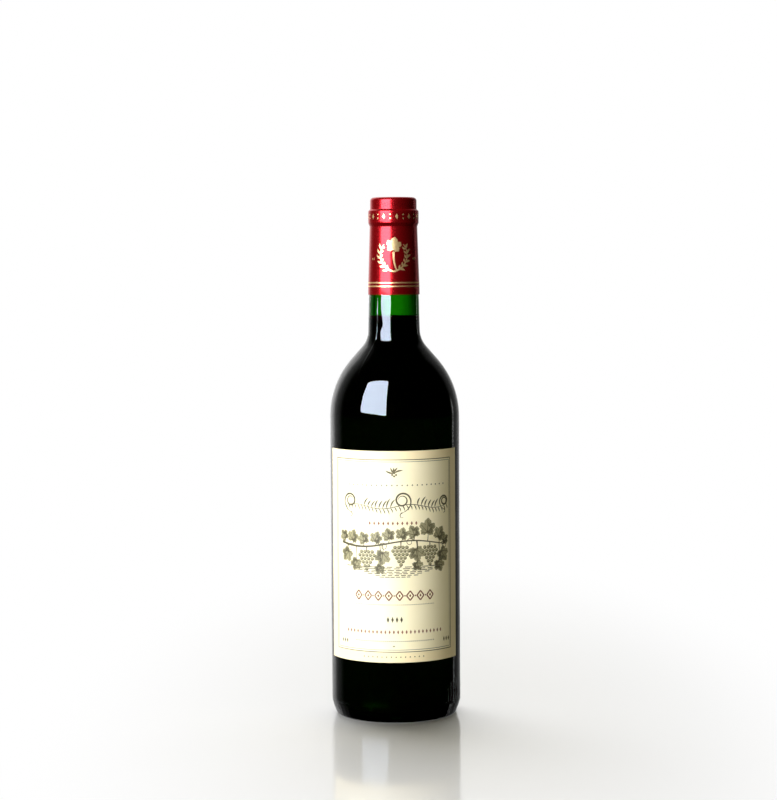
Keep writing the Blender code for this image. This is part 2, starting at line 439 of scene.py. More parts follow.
# The capsule: a cap of thin tin foil with crimson lacquer, spun tight over the mouth and the
# ring of the glass by rollers, which leave small tucks under the ring. Its back has a lap.
capsule_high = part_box("capsule")[1]
CAPSULE_TOP = capsule_high.z
CAPSULE_LOWER_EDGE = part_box("capsule")[0].z
CAPSULE_EDGE_RADIUS = capsule_high.x
CAPSULE_EDGE_BAND = 2.5 * MM
CAPSULE_WAIST_RADIUS = 13.75 * MM
CAPSULE_WAIST_HEIGHT = 283.3 * MM
COLLAR_RADIUS = 14.60 * MM
COLLAR_BOTTOM = 285.3 * MM
COLLAR_TOP = 292.2 * MM
COLLAR_ROUNDING = 0.9 * MM
CAPSULE_LIP_RADIUS = 13.45 * MM
CAPSULE_ROUNDING = 2.1 * MM
RIM_BEAD_RADIUS = 10.6 * MM
RIM_BEAD = 0.25 * MM
FOIL = 0.12 * MM
CAPSULE_COLUMN = math.radians(2.0)
TUCK_BOTTOM = 279.0 * MM
TUCKS = 31
TUCK_RISE = 0.045 * MM
LAP_AZIMUTH = math.radians(168.0)
LAP_WIDTH = 1.8 * MM
LAP_RISE = 0.10 * MM
FOIL_RUN = 1.5 * MM


def capsule_outline(inset):
    """The foil's outline from its lower edge to the middle of its top, moved in by `inset`."""
    corners = [
        (CAPSULE_EDGE_RADIUS, CAPSULE_LOWER_EDGE, 0.0),
        (CAPSULE_EDGE_RADIUS, CAPSULE_LOWER_EDGE + CAPSULE_EDGE_BAND, 0.0),
        (CAPSULE_WAIST_RADIUS, CAPSULE_WAIST_HEIGHT, COLLAR_ROUNDING),
        (COLLAR_RADIUS, COLLAR_BOTTOM, COLLAR_ROUNDING),
        (COLLAR_RADIUS, COLLAR_TOP, COLLAR_ROUNDING),
        (CAPSULE_LIP_RADIUS, COLLAR_TOP + COLLAR_ROUNDING, COLLAR_ROUNDING),
        (CAPSULE_LIP_RADIUS, CAPSULE_TOP, CAPSULE_ROUNDING),
        (RIM_BEAD_RADIUS + 2.0 * RIM_BEAD, CAPSULE_TOP, 0.0),
        (RIM_BEAD_RADIUS, CAPSULE_TOP - RIM_BEAD, 0.0),
        (RIM_BEAD_RADIUS - 2.0 * RIM_BEAD, CAPSULE_TOP, 0.0),
        (0.0, CAPSULE_TOP, 0.0),
    ]
    moved = shifted(outline(corners, FOIL_RUN), -inset)
    moved[0].y = CAPSULE_LOWER_EDGE
    moved[-1].x = 0.0
    return moved


def crumple(shape):
    """Tucks under the collar, and the lap where the foil's two ends overlap at the back."""
    draw = random.Random(7)
    tucks = [draw.uniform(0.2, 1.0) for _ in range(TUCKS)]
    for vert in shape.verts:
        radius = math.hypot(vert.co.x, vert.co.y)
        if radius < CAPSULE_LIP_RADIUS - CAPSULE_ROUNDING:
            continue
        azimuth = math.atan2(vert.co.x, -vert.co.y)
        turn = (azimuth / math.tau % 1.0) * TUCKS
        strength = tucks[int(turn) % TUCKS] * math.sin(math.pi * (turn % 1.0)) ** 2
        zone = ramp(vert.co.z, TUCK_BOTTOM, CAPSULE_WAIST_HEIGHT)
        zone *= ramp(-vert.co.z, -COLLAR_BOTTOM - COLLAR_ROUNDING, -CAPSULE_WAIST_HEIGHT)
        aside = ((azimuth - LAP_AZIMUTH + math.pi) % math.tau - math.pi) * radius
        lap = ramp(aside, -LAP_WIDTH, -LAP_WIDTH * 0.6) * ramp(-aside, -LAP_WIDTH, LAP_WIDTH * 0.6)
        rise = zone * strength * TUCK_RISE + lap * LAP_RISE
        vert.co.x *= 1.0 + rise / radius
        vert.co.y *= 1.0 + rise / radius


crimson, tree, shader, place = new_finish(
    "crimson lacquered tin foil", Metallic=0.82, Coat_Weight=0.15, Coat_Roughness=0.10)
# The lacquer lies a little unevenly, and the rollers brush it round and round, 0.8 mm apart.
around = node(tree, "Mapping", {"Scale": (0.15, 0.15, 1.0), "Vector": place})
brushing = noise(tree, around.outputs["Vector"], 0.8 * MM, 3.0)
uneven = noise(tree, place, 6.0 * MM, 3.0)
feed(tree, shader, {"Base Color": two_tones(tree, uneven, colour("A60C12"), colour("B21016")),
                    "Roughness": between(tree, brushing, 0.22, 0.29),
                    "Normal": bumps(tree, brushing, 0.15, 0.02 * MM)})

shape = bmesh.new()
foil_section = capsule_outline(0.0) + list(reversed(capsule_outline(FOIL)))
foil_section.append(foil_section[0])
turned(shape, foil_section, [(math.tau, CAPSULE_COLUMN)])
crumple(shape)
foil_capsule = finished("foil_capsule", shape, crimson)
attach(foil_capsule, "root")
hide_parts("capsule")


# The print on the capsule: gold foil pressed on hot. Two fine rings near the lower edge, a
# row of lozenges and dots round the collar, and a vine leaf in a wreath on the front.
GOLD_THICKNESS = 0.02 * MM
GOLD_GAP = 0.02 * MM
GOLD_RINGS = (250.9 * MM, 248.9 * MM)
GOLD_RING_WIDTH = 0.8 * MM
COLLAR_ROW_HEIGHT = 288.9 * MM
COLLAR_ROW_COUNT = 12
COLLAR_LOZENGE = (1.9 * MM, 3.3 * MM)
COLLAR_DOT = 1.0 * MM
COLLAR_DOT_RISE = 1.1 * MM
EMBLEM_HEIGHT = 271.8 * MM
EMBLEM_REACH = 5.2 * MM
EMBLEM_TURN = math.radians(-8.0)
STALK_START = 3.2 * MM
STALK_HEADING = math.radians(-96.0)
STALK_LENGTH = 11.4 * MM
STALK_BEND = 0.5
EMBLEM_DOTS = (12.6 * MM, 14.2 * MM)
EMBLEM_DOT = (1.0 * MM, 1.6 * MM)
EMBLEM_DOT_DROP = 7.2 * MM
# The wreath's two halves: each a twig with pairs of leaves at some of its steps. A leaf has
# its length and width, and the leaves outside are the longer ones.
WREATH_FOOT = 257.4 * MM
WREATH_LEAN = math.radians(78.0)
WREATH_LENGTH = 20.0 * MM
WREATH_BEND = 1.75
WREATH_STEPS = 30
WREATH_LEAVES = (5, 9, 13, 17, 21, 25)
WREATH_SPLAY = 0.75
OUTER_LEAF = (3.4 * MM, 1.3 * MM)
INNER_LEAF = (2.6 * MM, 1.1 * MM)
CUT_ON_CAPSULE = 0.7 * MM
DOT_SIDES = 10
# A vine leaf: the direction and size of each lobe, and how its edge and veins are drawn.
LOBES = [(0.0, 1.0), (62.0, 0.86), (-62.0, 0.86), (124.0, 0.62), (-124.0, 0.62)]
LOBE_WIDTH = math.radians(62.0)
LEAF_CORE = 0.40
LEAF_TEETH = 14
LEAF_TOOTH = 0.045
LEAF_RIM = 56
VEIN_FOOT = 0.30
VEIN_REACH = 0.85
PEN_STEPS = 6
PEN_BOW = 0.10


def capsule_radius(height):
    """The capsule's radius, for print on its collar or on its straight taper."""
    if height > COLLAR_BOTTOM:
        return COLLAR_RADIUS
    taper_start = CAPSULE_LOWER_EDGE + CAPSULE_EDGE_BAND
    share = max((height - taper_start) / (CAPSULE_WAIST_HEIGHT - taper_start), 0.0)
    return CAPSULE_EDGE_RADIUS + (CAPSULE_WAIST_RADIUS - CAPSULE_EDGE_RADIUS) * share


def patch(shape, place, width, height, sides=4):
    """Lay a filled flat patch at a place: four sides make a lozenge, ten or more a dot."""
    matrix = Matrix.Translation(place.to_3d()) @ Matrix.Diagonal((width / 2.0, height / 2.0, 1.0, 1.0))
    return bmesh.ops.create_circle(shape, cap_ends=True, cap_tris=True, segments=sides,
                                   radius=1.0, matrix=matrix)["verts"]


def stroke(shape, path, width_at):
    """Draw a pen line along flat points; width_at gives its width at 0 to 1 of its length."""
    last = len(path) - 1
    ends = []
    for index, point in enumerate(path):
        ahead = (path[min(index + 1, last)] - path[max(index - 1, 0)]).normalized()
        side = Vector((-ahead.y, ahead.x)) * (width_at(index / last) / 2.0)
        places = [(point + side).to_3d(), (point - side).to_3d()]
        if not ends:
            ends = [shape.verts.new(place) for place in places]
            edge = shape.edges.new(ends)
            continue
        made = bmesh.ops.extrude_edge_only(shape, edges=[edge])["geom"]
        fresh = [item for item in made if isinstance(item, bmesh.types.BMVert)]
        mates = []
        for old in ends:
            mates.append(next(vert for vert in fresh
                              if any(link.other_vert(vert) is old for link in vert.link_edges)))
        for vert, place in zip(mates, places):
            vert.co = place
        ends = mates
        edge = shape.edges.get(ends)


def swelling(widest, finest=0.0):
    """A pen's pressure: fine at both ends of a stroke and widest in its middle."""
    return lambda share: finest + (widest - finest) * math.sin(math.pi * share) ** 0.8


def tapering(widest, finest):
    """A stroke that starts wide and runs out fine."""
    return lambda share: widest + (finest - widest) * share


def heading_of(angle):
    """The flat direction of an angle."""
    return Vector((math.cos(angle), math.sin(angle)))


def curl(start, heading, length, bend, tighten, steps):
    """A path that leaves in a heading and bends ever tighter, as a tendril does."""
    path = [start.copy()]
    for step in range(steps):
        heading += bend * (1.0 + tighten * step / steps) / steps
        path.append(path[-1] + heading_of(heading) * (length / steps))
    return path


def pen_leaf(shape, foot, length, turn, width):
    """One narrow, slightly bowed leaf, drawn in a single swelling stroke."""
    heading = heading_of(turn)
    bow = Vector((-heading.y, heading.x)) * length * PEN_BOW
    path = []
    for step in range(PEN_STEPS + 1):
        share = step / PEN_STEPS
        path.append(foot + heading * (length * share) + bow * math.sin(math.pi * share))
    stroke(shape, path, swelling(width, width * 0.1))


def leaf_reach(angle):
    """The distance from a vine leaf's middle to its edge, as a share of its longest lobe."""
    best = 0.0
    for at, size in LOBES:
        aside = abs((angle - math.radians(at) + math.pi) % math.tau - math.pi)
        lift = 0.5 + 0.5 * math.cos(min(aside / LOBE_WIDTH, 1.0) * math.pi)
        best = max(best, size * lift)
    return LEAF_CORE + (1.0 - LEAF_CORE) * best + LEAF_TOOTH * math.cos(LEAF_TEETH * angle)


def leaf_blade(shape, place, reach, turn):
    """A filled five-lobed leaf whose tip points along `turn`."""
    rim = patch(shape, Vector((0.0, 0.0)), 2.0, 2.0, sides=LEAF_RIM)
    for vert in rim:
        if vert.co.length > 0.5:
            angle = math.atan2(vert.co.y, vert.co.x)
            vert.co *= leaf_reach(angle)
    matrix = Matrix.Translation(place.to_3d()) @ Matrix.Rotation(turn, 4, "Z")
    bmesh.ops.transform(shape, matrix=matrix @ Matrix.Scale(reach, 4), verts=rim)


def leaf_veins(shape, place, reach, turn, width):
    """The ribs of a leaf, one to each lobe, from where the stalk meets the blade."""
    foot = place - heading_of(turn) * reach * VEIN_FOOT
    for at, size in LOBES:
        far = reach * leaf_reach(math.radians(at)) * VEIN_REACH
        tip = place + heading_of(turn + math.radians(at)) * far
        stroke(shape, [foot, foot.lerp(tip, 0.5), tip], tapering(width, width * 0.35))


def flat_print(name, shape, ink, radius_at, reference, cut, gap, thickness):
    """Cut flat print finely, give it its thickness and bend it round the bottle."""
    spans = [vert.co.x for vert in shape.verts]
    place = math.ceil(min(spans) / cut) * cut
    while place < max(spans):
        bmesh.ops.bisect_plane(shape, geom=shape.verts[:] + shape.edges[:] + shape.faces[:],
                               dist=MERGE_DISTANCE, plane_co=(place, 0.0, 0.0),
                               plane_no=(1.0, 0.0, 0.0))
        place += cut
    raised = bmesh.ops.extrude_face_region(shape, geom=shape.faces[:], use_keep_orig=True)["geom"]
    verts = [item for item in raised if isinstance(item, bmesh.types.BMVert)]
    bmesh.ops.translate(shape, vec=(0.0, 0.0, thickness), verts=verts)
    bmesh.ops.recalc_face_normals(shape, faces=shape.faces)
    for vert in shape.verts:
        azimuth = vert.co.x / reference
        height = vert.co.y
        radius = radius_at(height) + gap + vert.co.z
        vert.co = (radius * math.sin(azimuth), -radius * math.cos(azimuth), height)
    return placed(name, shape, ink)


gold, tree, shader, place = new_finish("hot-stamped gold foil", Metallic=0.82)
# The foil takes slightly unevenly, in specks 0.7 mm across.
specks = noise(tree, place, 0.7 * MM)
feed(tree, shader, {"Base Color": two_tones(tree, specks, colour("E8BE7A"), colour("F6D79C")),
                    "Roughness": between(tree, specks, 0.26, 0.40)})

shape = bmesh.new()
for height in GOLD_RINGS:
    inner = capsule_radius(height) + GOLD_GAP
    outer = inner + GOLD_THICKNESS
    low, high = height - GOLD_RING_WIDTH / 2.0, height + GOLD_RING_WIDTH / 2.0
    corners = [(inner, low), (outer, low), (outer, high), (inner, high), (inner, low)]
    band = [Vector(corner) for corner in corners]
    turned(shape, band, [(math.tau, CAPSULE_COLUMN)])
crumple(shape)
gold_rings = finished("gold_rings", shape, gold)
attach(gold_rings, "root")


def print_on_capsule(name, shape, radius):
    """Press flat print, drawn for one radius, on the capsule in gold."""
    piece = flat_print(name, shape, gold, capsule_radius, radius, CUT_ON_CAPSULE, GOLD_GAP, GOLD_THICKNESS)
    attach(piece, "root")


shape = bmesh.new()
pitch = math.tau * COLLAR_RADIUS / COLLAR_ROW_COUNT
for index in range(COLLAR_ROW_COUNT):
    along = (index - COLLAR_ROW_COUNT / 2.0) * pitch
    patch(shape, Vector((along + pitch * 0.25, COLLAR_ROW_HEIGHT)), *COLLAR_LOZENGE)
    for rise in (-COLLAR_DOT_RISE, COLLAR_DOT_RISE):
        place = Vector((along + pitch * 0.75, COLLAR_ROW_HEIGHT + rise))
        patch(shape, place, COLLAR_DOT, COLLAR_DOT, DOT_SIDES)
print_on_capsule("collar_row", shape, COLLAR_RADIUS)

shape = bmesh.new()
middle = Vector((0.0, EMBLEM_HEIGHT))
leaf_blade(shape, middle, EMBLEM_REACH, math.pi / 2.0 + EMBLEM_TURN)
stalk = curl(middle - Vector((0.0, STALK_START)), STALK_HEADING, STALK_LENGTH, STALK_BEND, 0.0, 12)
stroke(shape, stalk, tapering(1.3 * MM, 0.6 * MM))
for side in (-1.0, 1.0):
    foot = Vector((0.0, WREATH_FOOT))
    heading = math.pi / 2.0 - side * WREATH_LEAN
    twig = curl(foot, heading, WREATH_LENGTH, side * WREATH_BEND, 0.4, WREATH_STEPS)
    stroke(shape, twig, tapering(1.1 * MM, 0.4 * MM))
    for index in WREATH_LEAVES:
        ahead = twig[index + 1] - twig[index]
        turn = math.atan2(ahead.y, ahead.x)
        for splay, (length, width) in ((-WREATH_SPLAY, OUTER_LEAF), (WREATH_SPLAY, INNER_LEAF)):
            pen_leaf(shape, twig[index], length, turn + side * splay, width)
    for along in EMBLEM_DOTS:
        patch(shape, Vector((side * along, EMBLEM_HEIGHT - EMBLEM_DOT_DROP)), *EMBLEM_DOT)
print_on_capsule("gold_emblem", shape, capsule_radius(EMBLEM_HEIGHT))


# The label: a rectangle of cream, lightly coated label paper, glued round the front of the
# body. Its margin outside the printed frame is tinted a little deeper.
label_low, label_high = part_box("front_label")
LABEL_BOTTOM = label_low.z
LABEL_TOP = label_high.z
LABEL_LEFT = math.radians(-72.5)
LABEL_RIGHT = math.radians(66.0)
LABEL_GLUE = 0.08 * MM
LABEL_PAPER = 0.15 * MM
LABEL_RADIUS = BODY_RADIUS + LABEL_GLUE + LABEL_PAPER
LABEL_COLUMN = math.radians(1.5)
LABEL_ROWS = 24
FRAME_LEFT = -40.2 * MM
FRAME_RIGHT = 36.8 * MM
FRAME_BOTTOM = 41.6 * MM
FRAME_TOP = 151.2 * MM


def maths(tree, operation, *inputs):
    """A sum on numbers and node outputs, in the order of the node's sockets."""
    return node(tree, "Math", dict(enumerate(inputs)), operation=operation).outputs[0]


def azimuth_of(tree, axes):
    """The angle round the bottle's axis, from the front, positive to the right."""
    return maths(tree, "ARCTAN2", axes.outputs["X"], maths(tree, "MULTIPLY", axes.outputs["Y"], -1.0))


paper, tree, shader, place = new_finish(
    "cream coated label paper", IOR=1.5, Specular_IOR_Level=0.3)
# The print's field is found by how far round the bottle and how high up a place lies.
axes = node(tree, "SeparateXYZ", {"Vector": place})
turn = azimuth_of(tree, axes)
along = maths(tree, "MULTIPLY_ADD", turn, LABEL_RADIUS, -(FRAME_LEFT + FRAME_RIGHT) / 2.0)
within = maths(tree, "LESS_THAN", maths(tree, "ABSOLUTE", along), (FRAME_RIGHT - FRAME_LEFT) / 2.0)
rise = maths(tree, "ADD", axes.outputs["Z"], -(FRAME_BOTTOM + FRAME_TOP) / 2.0)
level = maths(tree, "LESS_THAN", maths(tree, "ABSOLUTE", rise), (FRAME_TOP - FRAME_BOTTOM) / 2.0)
# Paper clouds, 9 mm across, and fibres, drawn 0.5 mm across so that they show.
clouds = noise(tree, place, 9.0 * MM, 4.0)
fibres = noise(tree, place, 0.5 * MM, 4.0)
margin = two_tones(tree, clouds, colour("EDDEB4"), colour("F2E4BE"))
inner = two_tones(tree, clouds, colour("F2E9C4"), colour("F6EED0"))
feed(tree, shader, {"Base Color": two_tones(tree, maths(tree, "MULTIPLY", within, level), margin, inner),
                    "Roughness": between(tree, fibres, 0.48, 0.58),
                    "Normal": bumps(tree, fibres, 0.10, 0.02 * MM)})

shape = bmesh.new()
inner_radius = BODY_RADIUS + LABEL_GLUE
section = [Vector((inner_radius, LABEL_BOTTOM))]
for row in range(LABEL_ROWS + 1):
    section.append(Vector((LABEL_RADIUS, LABEL_BOTTOM + (LABEL_TOP - LABEL_BOTTOM) * row / LABEL_ROWS)))
section.append(Vector((inner_radius, LABEL_TOP)))
face = shape.faces.new(stood_up(shape, section, LABEL_LEFT))
label_angle = LABEL_RIGHT - LABEL_LEFT
bmesh.ops.spin(shape, geom=[face], cent=(0.0, 0.0, 0.0), axis=(0.0, 0.0, 1.0), angle=label_angle,
               steps=math.ceil(label_angle / LABEL_COLUMN))
label_paper = finished("label_paper", shape, paper)
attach(label_paper, "root")
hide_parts("front_label")


# The print on the label, offset litho in five inks: a double frame, a leafy garland, a vine
# branch with fruit in the manner of an engraving, and rows of small ornaments.
INK_GAP = 0.015 * MM
WASH_THICKNESS = 0.006 * MM
LINE_THICKNESS = 0.016 * MM
CUT_ON_LABEL = 1.5 * MM
RULE_STEP = 1.5 * MM
RULE_WIDTH = 0.42 * MM
FINE_RULE_WIDTH = 0.252 * MM
RULE_SPACING = 1.15 * MM
# Rows of small ornaments, in millimetres: the row's height, its two ends, how many ornaments
# it has, and the width and height of one.
OLIVE_ROWS = [(136.7, -28.4, 30.4, 21, 0.9, 1.1), (68.6, -24.0, 22.6, 44, 0.55, 0.75),
              (47.7, -24.4, 22.6, 42, 0.6, 0.9), (38.7, -19.0, 16.1, 14, 0.8, 1.0),
              (60.1, -4.6, 3.1, 4, 1.5, 3.6)]
BROWN_ROWS = [(115.1, -15.0, 12.0, 11, 1.3, 2.4), (53.0, -30.4, 27.8, 25, 1.2, 2.5)]
RED_CENTRES = (73.8, -22.4, 20.4, 8, 1.3, 1.9)
RED_DOTS = (73.8, -19.4, 17.4, 7, 0.9, 0.9)
RED_TIPS = [Vector(tip) for tip in ((-2.1 * MM, 0.0), (0.0, -2.7 * MM), (2.1 * MM, 0.0), (0.0, 2.7 * MM))]
RED_RULE = 0.75 * MM


def label_radius(height):
    """The label's outer radius, the same at every height."""
    return LABEL_RADIUS


def ink_finish(name, hex_colour):
    """A printing ink on coated paper: the paper's mottle shows through it a little."""
    ink, tree, shader, place = new_finish(name, IOR=1.5, Roughness=0.48, Specular_IOR_Level=0.3)
    mottle = noise(tree, place, 0.6 * MM)
    base = colour(hex_colour)
    thin = tuple(channel * 0.75 + 0.25 * full for channel, full in zip(base, colour("C9C09A")))
    feed(tree, shader, {"Base Color": two_tones(tree, mottle, base, thin)})
    return ink


olive_ink = ink_finish("olive black ink", "2B281A")
wash_ink = ink_finish("olive wash ink", "8F8B6C")
red_ink = ink_finish("dark red ink", "62121A")
brown_ink = ink_finish("red-brown ink", "7A4434")
sepia_ink = ink_finish("sepia ink", "4A4226")


def print_on_label(name, shape, ink, thickness=LINE_THICKNESS):
    """Put one ink's flat print on the label."""
    piece = flat_print(name, shape, ink, label_radius, LABEL_RADIUS, CUT_ON_LABEL, INK_GAP, thickness)
    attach(piece, "root")


def rule(shape, start, end, width):
    """A straight printed rule between two places."""
    parts = max(1, math.ceil((end - start).length / RULE_STEP))
    stroke(shape, [start.lerp(end, part / parts) for part in range(parts + 1)], lambda share: width)


def ruled_round(shape, corners, width):
    """Rules from corner to corner, all the way round."""
    for corner, following in zip(corners, corners[1:] + corners[:1]):
        rule(shape, corner, following, width)


shape = bmesh.new()
for inset, width in ((0.0, RULE_WIDTH), (RULE_SPACING, FINE_RULE_WIDTH)):
    left, right = FRAME_LEFT + inset, FRAME_RIGHT - inset
    low, high = FRAME_BOTTOM + inset, FRAME_TOP - inset
    corners = [Vector((left, low)), Vector((right, low)), Vector((right, high)), Vector((left, high))]
    ruled_round(shape, corners, width)
print_on_label("label_frame", shape, olive_ink)


def row_places(row):
    """The middles of a row's ornaments."""
    height, left, right, count = row[0] * MM, row[1] * MM, row[2] * MM, row[3]
    return [Vector((left + (right - left) * index / (count - 1), height)) for index in range(count)]


def ornament_row(shape, row, sides=4):
    """Lay a row of equal small lozenges, or of dots when they have more sides."""
    for place in row_places(row):
        patch(shape, place, row[4] * MM, row[5] * MM, sides)


shape = bmesh.new()
for row in OLIVE_ROWS:
    ornament_row(shape, row)
print_on_label("small_rows", shape, olive_ink)

shape = bmesh.new()
for row in BROWN_ROWS:
    ornament_row(shape, row)
print_on_label("brown_rows", shape, brown_ink)

shape = bmesh.new()
for middle in row_places(RED_CENTRES):
    ruled_round(shape, [middle + tip for tip in RED_TIPS], RED_RULE)
ornament_row(shape, RED_CENTRES)
ornament_row(shape, RED_DOTS, DOT_SIDES)
print_on_label("red_row", shape, red_ink)


# The garland in the upper third: a wavy stem with slanted leaves and three large scrolls.
GARLAND_HEIGHT = 124.6 * MM
GARLAND_ENDS = (-33.0 * MM, 34.0 * MM)
GARLAND_WAVE = 1.2 * MM
GARLAND_WAVELENGTH = 5.2 * MM * math.tau
GARLAND_STEPS = 60
GARLAND_LEAVES = 30
GARLAND_SLANT = math.radians(64.0)
UPPER_LEAVES = (4.2, 6.2)
LOWER_LEAVES = (2.8, 3.8)
SLANT_SPREAD = 0.12
LOWER_SLANT = GARLAND_SLANT - math.pi * 0.72
# Scrolls: place along and height in millimetres, heading in degrees, bend in radians and size.
SCROLLS = [(-28.0, 121.2, 165.0, -4.6, 1.0), (4.0, 121.2, 15.0, 4.6, 1.08),
           (31.0, 122.0, 165.0, -5.0, 0.8)]
SCROLL_LENGTH = 36.0 * MM
SCROLL_TAIL = 4.6 * MM
# No upper leaf grows inside a scroll: where each one's middle is, and the room it needs.
SCROLL_MIDDLES = ((-26.8 * MM, 6.2 * MM), (4.8 * MM, 6.4 * MM), (29.8 * MM, 4.6 * MM))


def spread_between(ends, parts):
    """Places along a line, from one end to the other."""
    return [ends[0] + (ends[1] - ends[0]) * step / parts for step in range(parts + 1)]


def garland_stem(along):
    """The place of the garland's stem at a distance along it."""
    wave = GARLAND_WAVE * math.sin(math.tau * along / GARLAND_WAVELENGTH)
    return Vector((along, GARLAND_HEIGHT + wave))


shape = bmesh.new()
stem = [garland_stem(along) for along in spread_between(GARLAND_ENDS, GARLAND_STEPS)]
stroke(shape, stem, swelling(0.42 * MM, 0.15 * MM))
draw = random.Random(11)
left, right = GARLAND_ENDS
for index in range(GARLAND_LEAVES):
    foot = garland_stem(left + (right - left) * (index + 0.5) / GARLAND_LEAVES)
    up = draw.uniform(*UPPER_LEAVES) * MM
    down = draw.uniform(*LOWER_LEAVES) * MM
    slant = GARLAND_SLANT + draw.uniform(-SLANT_SPREAD, SLANT_SPREAD)
    if all(abs(foot.x - middle) > clear for middle, clear in SCROLL_MIDDLES):
        pen_leaf(shape, foot, up, slant, 0.85 * MM)
    pen_leaf(shape, foot, down, LOWER_SLANT, 0.62 * MM)
for along, height, degrees, bend, size in SCROLLS:
    foot = Vector((along * MM, height * MM))
    heading = math.radians(degrees)
    scroll = curl(foot, heading, SCROLL_LENGTH * size, bend, 2.6, 48)
    tail = curl(foot, heading + math.pi, SCROLL_TAIL * size, bend * 0.4, 2.0, 12)
    stroke(shape, scroll, swelling(1.05 * MM, 0.18 * MM))
    stroke(shape, tail, tapering(0.7 * MM, 0.15 * MM))
print_on_label("garland", shape, olive_ink)


# The engraved branch: hatched leaves above and below it, hanging bunches, tendrils and a
# little ground shading, in an oval about 71 mm wide and 32 mm high.
BRANCH_ENDS = (-35.0 * MM, 33.0 * MM)
BRANCH_HEIGHT = 103.4 * MM
BRANCH_WAVE = 1.8 * MM
BRANCH_WAVELENGTH = 9.5 * MM * math.tau
BRANCH_START = 0.6
BRANCH_STEPS = 50
# Leaves: place along the branch and rise from it in millimetres, turn in degrees and reach in
# millimetres. Bunches: place along the branch and rise. Tendrils: place, heading and bend.
LEAF_PLACES = [
    (-33.0, 3.6, 130, 4.4), (-26.5, 4.4, 75, 4.8), (-19.0, 4.0, 110, 4.6), (-11.5, 3.8, 70, 4.5),
    (-4.0, 4.2, 100, 4.6), (3.5, 3.6, 75, 4.5), (10.5, 4.2, 115, 4.8), (19.0, 7.0, 85, 6.2),
    (27.0, 4.8, 60, 5.2), (31.2, 2.4, 30, 3.8), (-30.5, -5.4, 230, 5.4), (-24.0, -9.6, 250, 4.8),
    (-7.5, -6.4, 262, 5.6), (-9.0, -13.2, 240, 3.8), (12.0, -6.6, 280, 5.6), (12.5, -13.6, 300, 4.0),
    (29.5, -5.6, 310, 5.6), (27.0, -11.8, 290, 4.8)]
BUNCH_PLACES = [(-17.0, -3.0), (3.0, -3.4), (20.5, -3.0)]
TENDRIL_PLACES = [(-9.5, 60.0, -4.0), (10.5, 120.0, 4.2), (28.5, 50.0, -4.0), (-26.0, 130.0, 4.0)]
TENDRIL_LENGTH = 13.0 * MM
BUNCH_ROWS = (4, 5, 4, 3, 2, 1)
FRUIT = 2.3 * MM
FRUIT_SHADE = 0.34
SHADE_ARC = [-2.7 + 0.42 * step for step in range(9)]
LEAF_HATCHES = 18
HATCHED_HALF = 0.96 * math.pi
GROUND_TOP = 90.2 * MM
GROUND_SPACING = 0.95 * MM
GROUND_ROWS = 7
GROUND_HALF_WIDTH = 31.0 * MM
GROUND_NARROWING = 3.6 * MM
GROUND_DASHES = 12


def branch_at(along):
    """The place of the engraved branch at a distance along it."""
    wave = BRANCH_WAVE * math.sin(math.tau * along / BRANCH_WAVELENGTH + BRANCH_START)
    return Vector((along, BRANCH_HEIGHT + wave))


def engraved_leaf(blades, lines, place, reach, turn):
    """A vine leaf: a wash blade, its ribs, and hatching, close together on its shaded half."""
    leaf_blade(blades, place, reach, turn)
    leaf_veins(lines, place, reach, turn, 0.45 * MM)
    for index in range(LEAF_HATCHES):
        aside = -HATCHED_HALF * (index + 0.5) / LEAF_HATCHES
        far = reach * leaf_reach(aside) * 0.96
        start = place + heading_of(turn + aside) * far * 0.30
        pen_leaf(lines, start, far * 0.66, turn + aside, 0.34 * MM)
        if index % 3 == 0:
            start = place + heading_of(turn - aside) * far * 0.60
            pen_leaf(lines, start, far * 0.34, turn - aside, 0.26 * MM)


def bunch(blades, lines, top):
    """A hanging bunch of round fruit in staggered rows, each one shaded at its lower right."""
    for row, count in enumerate(BUNCH_ROWS):
        for index in range(count):
            along = (index - (count - 1) / 2.0) * FRUIT * 0.98
            place = top + Vector((along, -row * FRUIT * 0.86))
            patch(blades, place, FRUIT * 0.96, FRUIT * 0.96, sides=12)
            shade = [place + heading_of(angle) * FRUIT * FRUIT_SHADE for angle in SHADE_ARC]
            stroke(lines, shade, swelling(0.62 * MM, 0.08 * MM))


blades = bmesh.new()
lines = bmesh.new()
branch = [branch_at(along) for along in spread_between(BRANCH_ENDS, BRANCH_STEPS)]
stroke(lines, branch, tapering(1.3 * MM, 0.5 * MM))
for along, rise, degrees, reach in LEAF_PLACES:
    joint = branch_at(along * MM)
    place = joint + Vector((0.0, rise * MM))
    bowed = joint.lerp(place, 0.5) + Vector((0.4 * MM, 0.0))
    stroke(lines, [joint, bowed, place], tapering(0.5 * MM, 0.3 * MM))
    engraved_leaf(blades, lines, place, reach * MM, math.radians(degrees))
for along, rise in BUNCH_PLACES:
    joint = branch_at(along * MM)
    top = joint + Vector((0.0, rise * MM))
    stroke(lines, [joint, joint.lerp(top, 0.5), top], tapering(0.7 * MM, 0.5 * MM))
    bunch(blades, lines, top)
for along, degrees, bend in TENDRIL_PLACES:
    tendril = curl(branch_at(along * MM), math.radians(degrees), TENDRIL_LENGTH, bend, 2.0, 24)
    stroke(lines, tendril, tapering(0.45 * MM, 0.18 * MM))
for row in range(GROUND_ROWS):
    height = GROUND_TOP - GROUND_SPACING * row
    half = GROUND_HALF_WIDTH - GROUND_NARROWING * row
    dashes = GROUND_DASHES - row
    for index in range(dashes):
        start = -half + 2.0 * half * (index + 0.3 * (row % 2)) / dashes
        end = start + half * draw.uniform(1.2, 1.8) / dashes
        rule(lines, Vector((start, height)), Vector((end, height)), 0.45 * MM)
print_on_label("engraving_wash", blades, wash_ink, WASH_THICKNESS)
print_on_label("engraving_lines", lines, olive_ink)


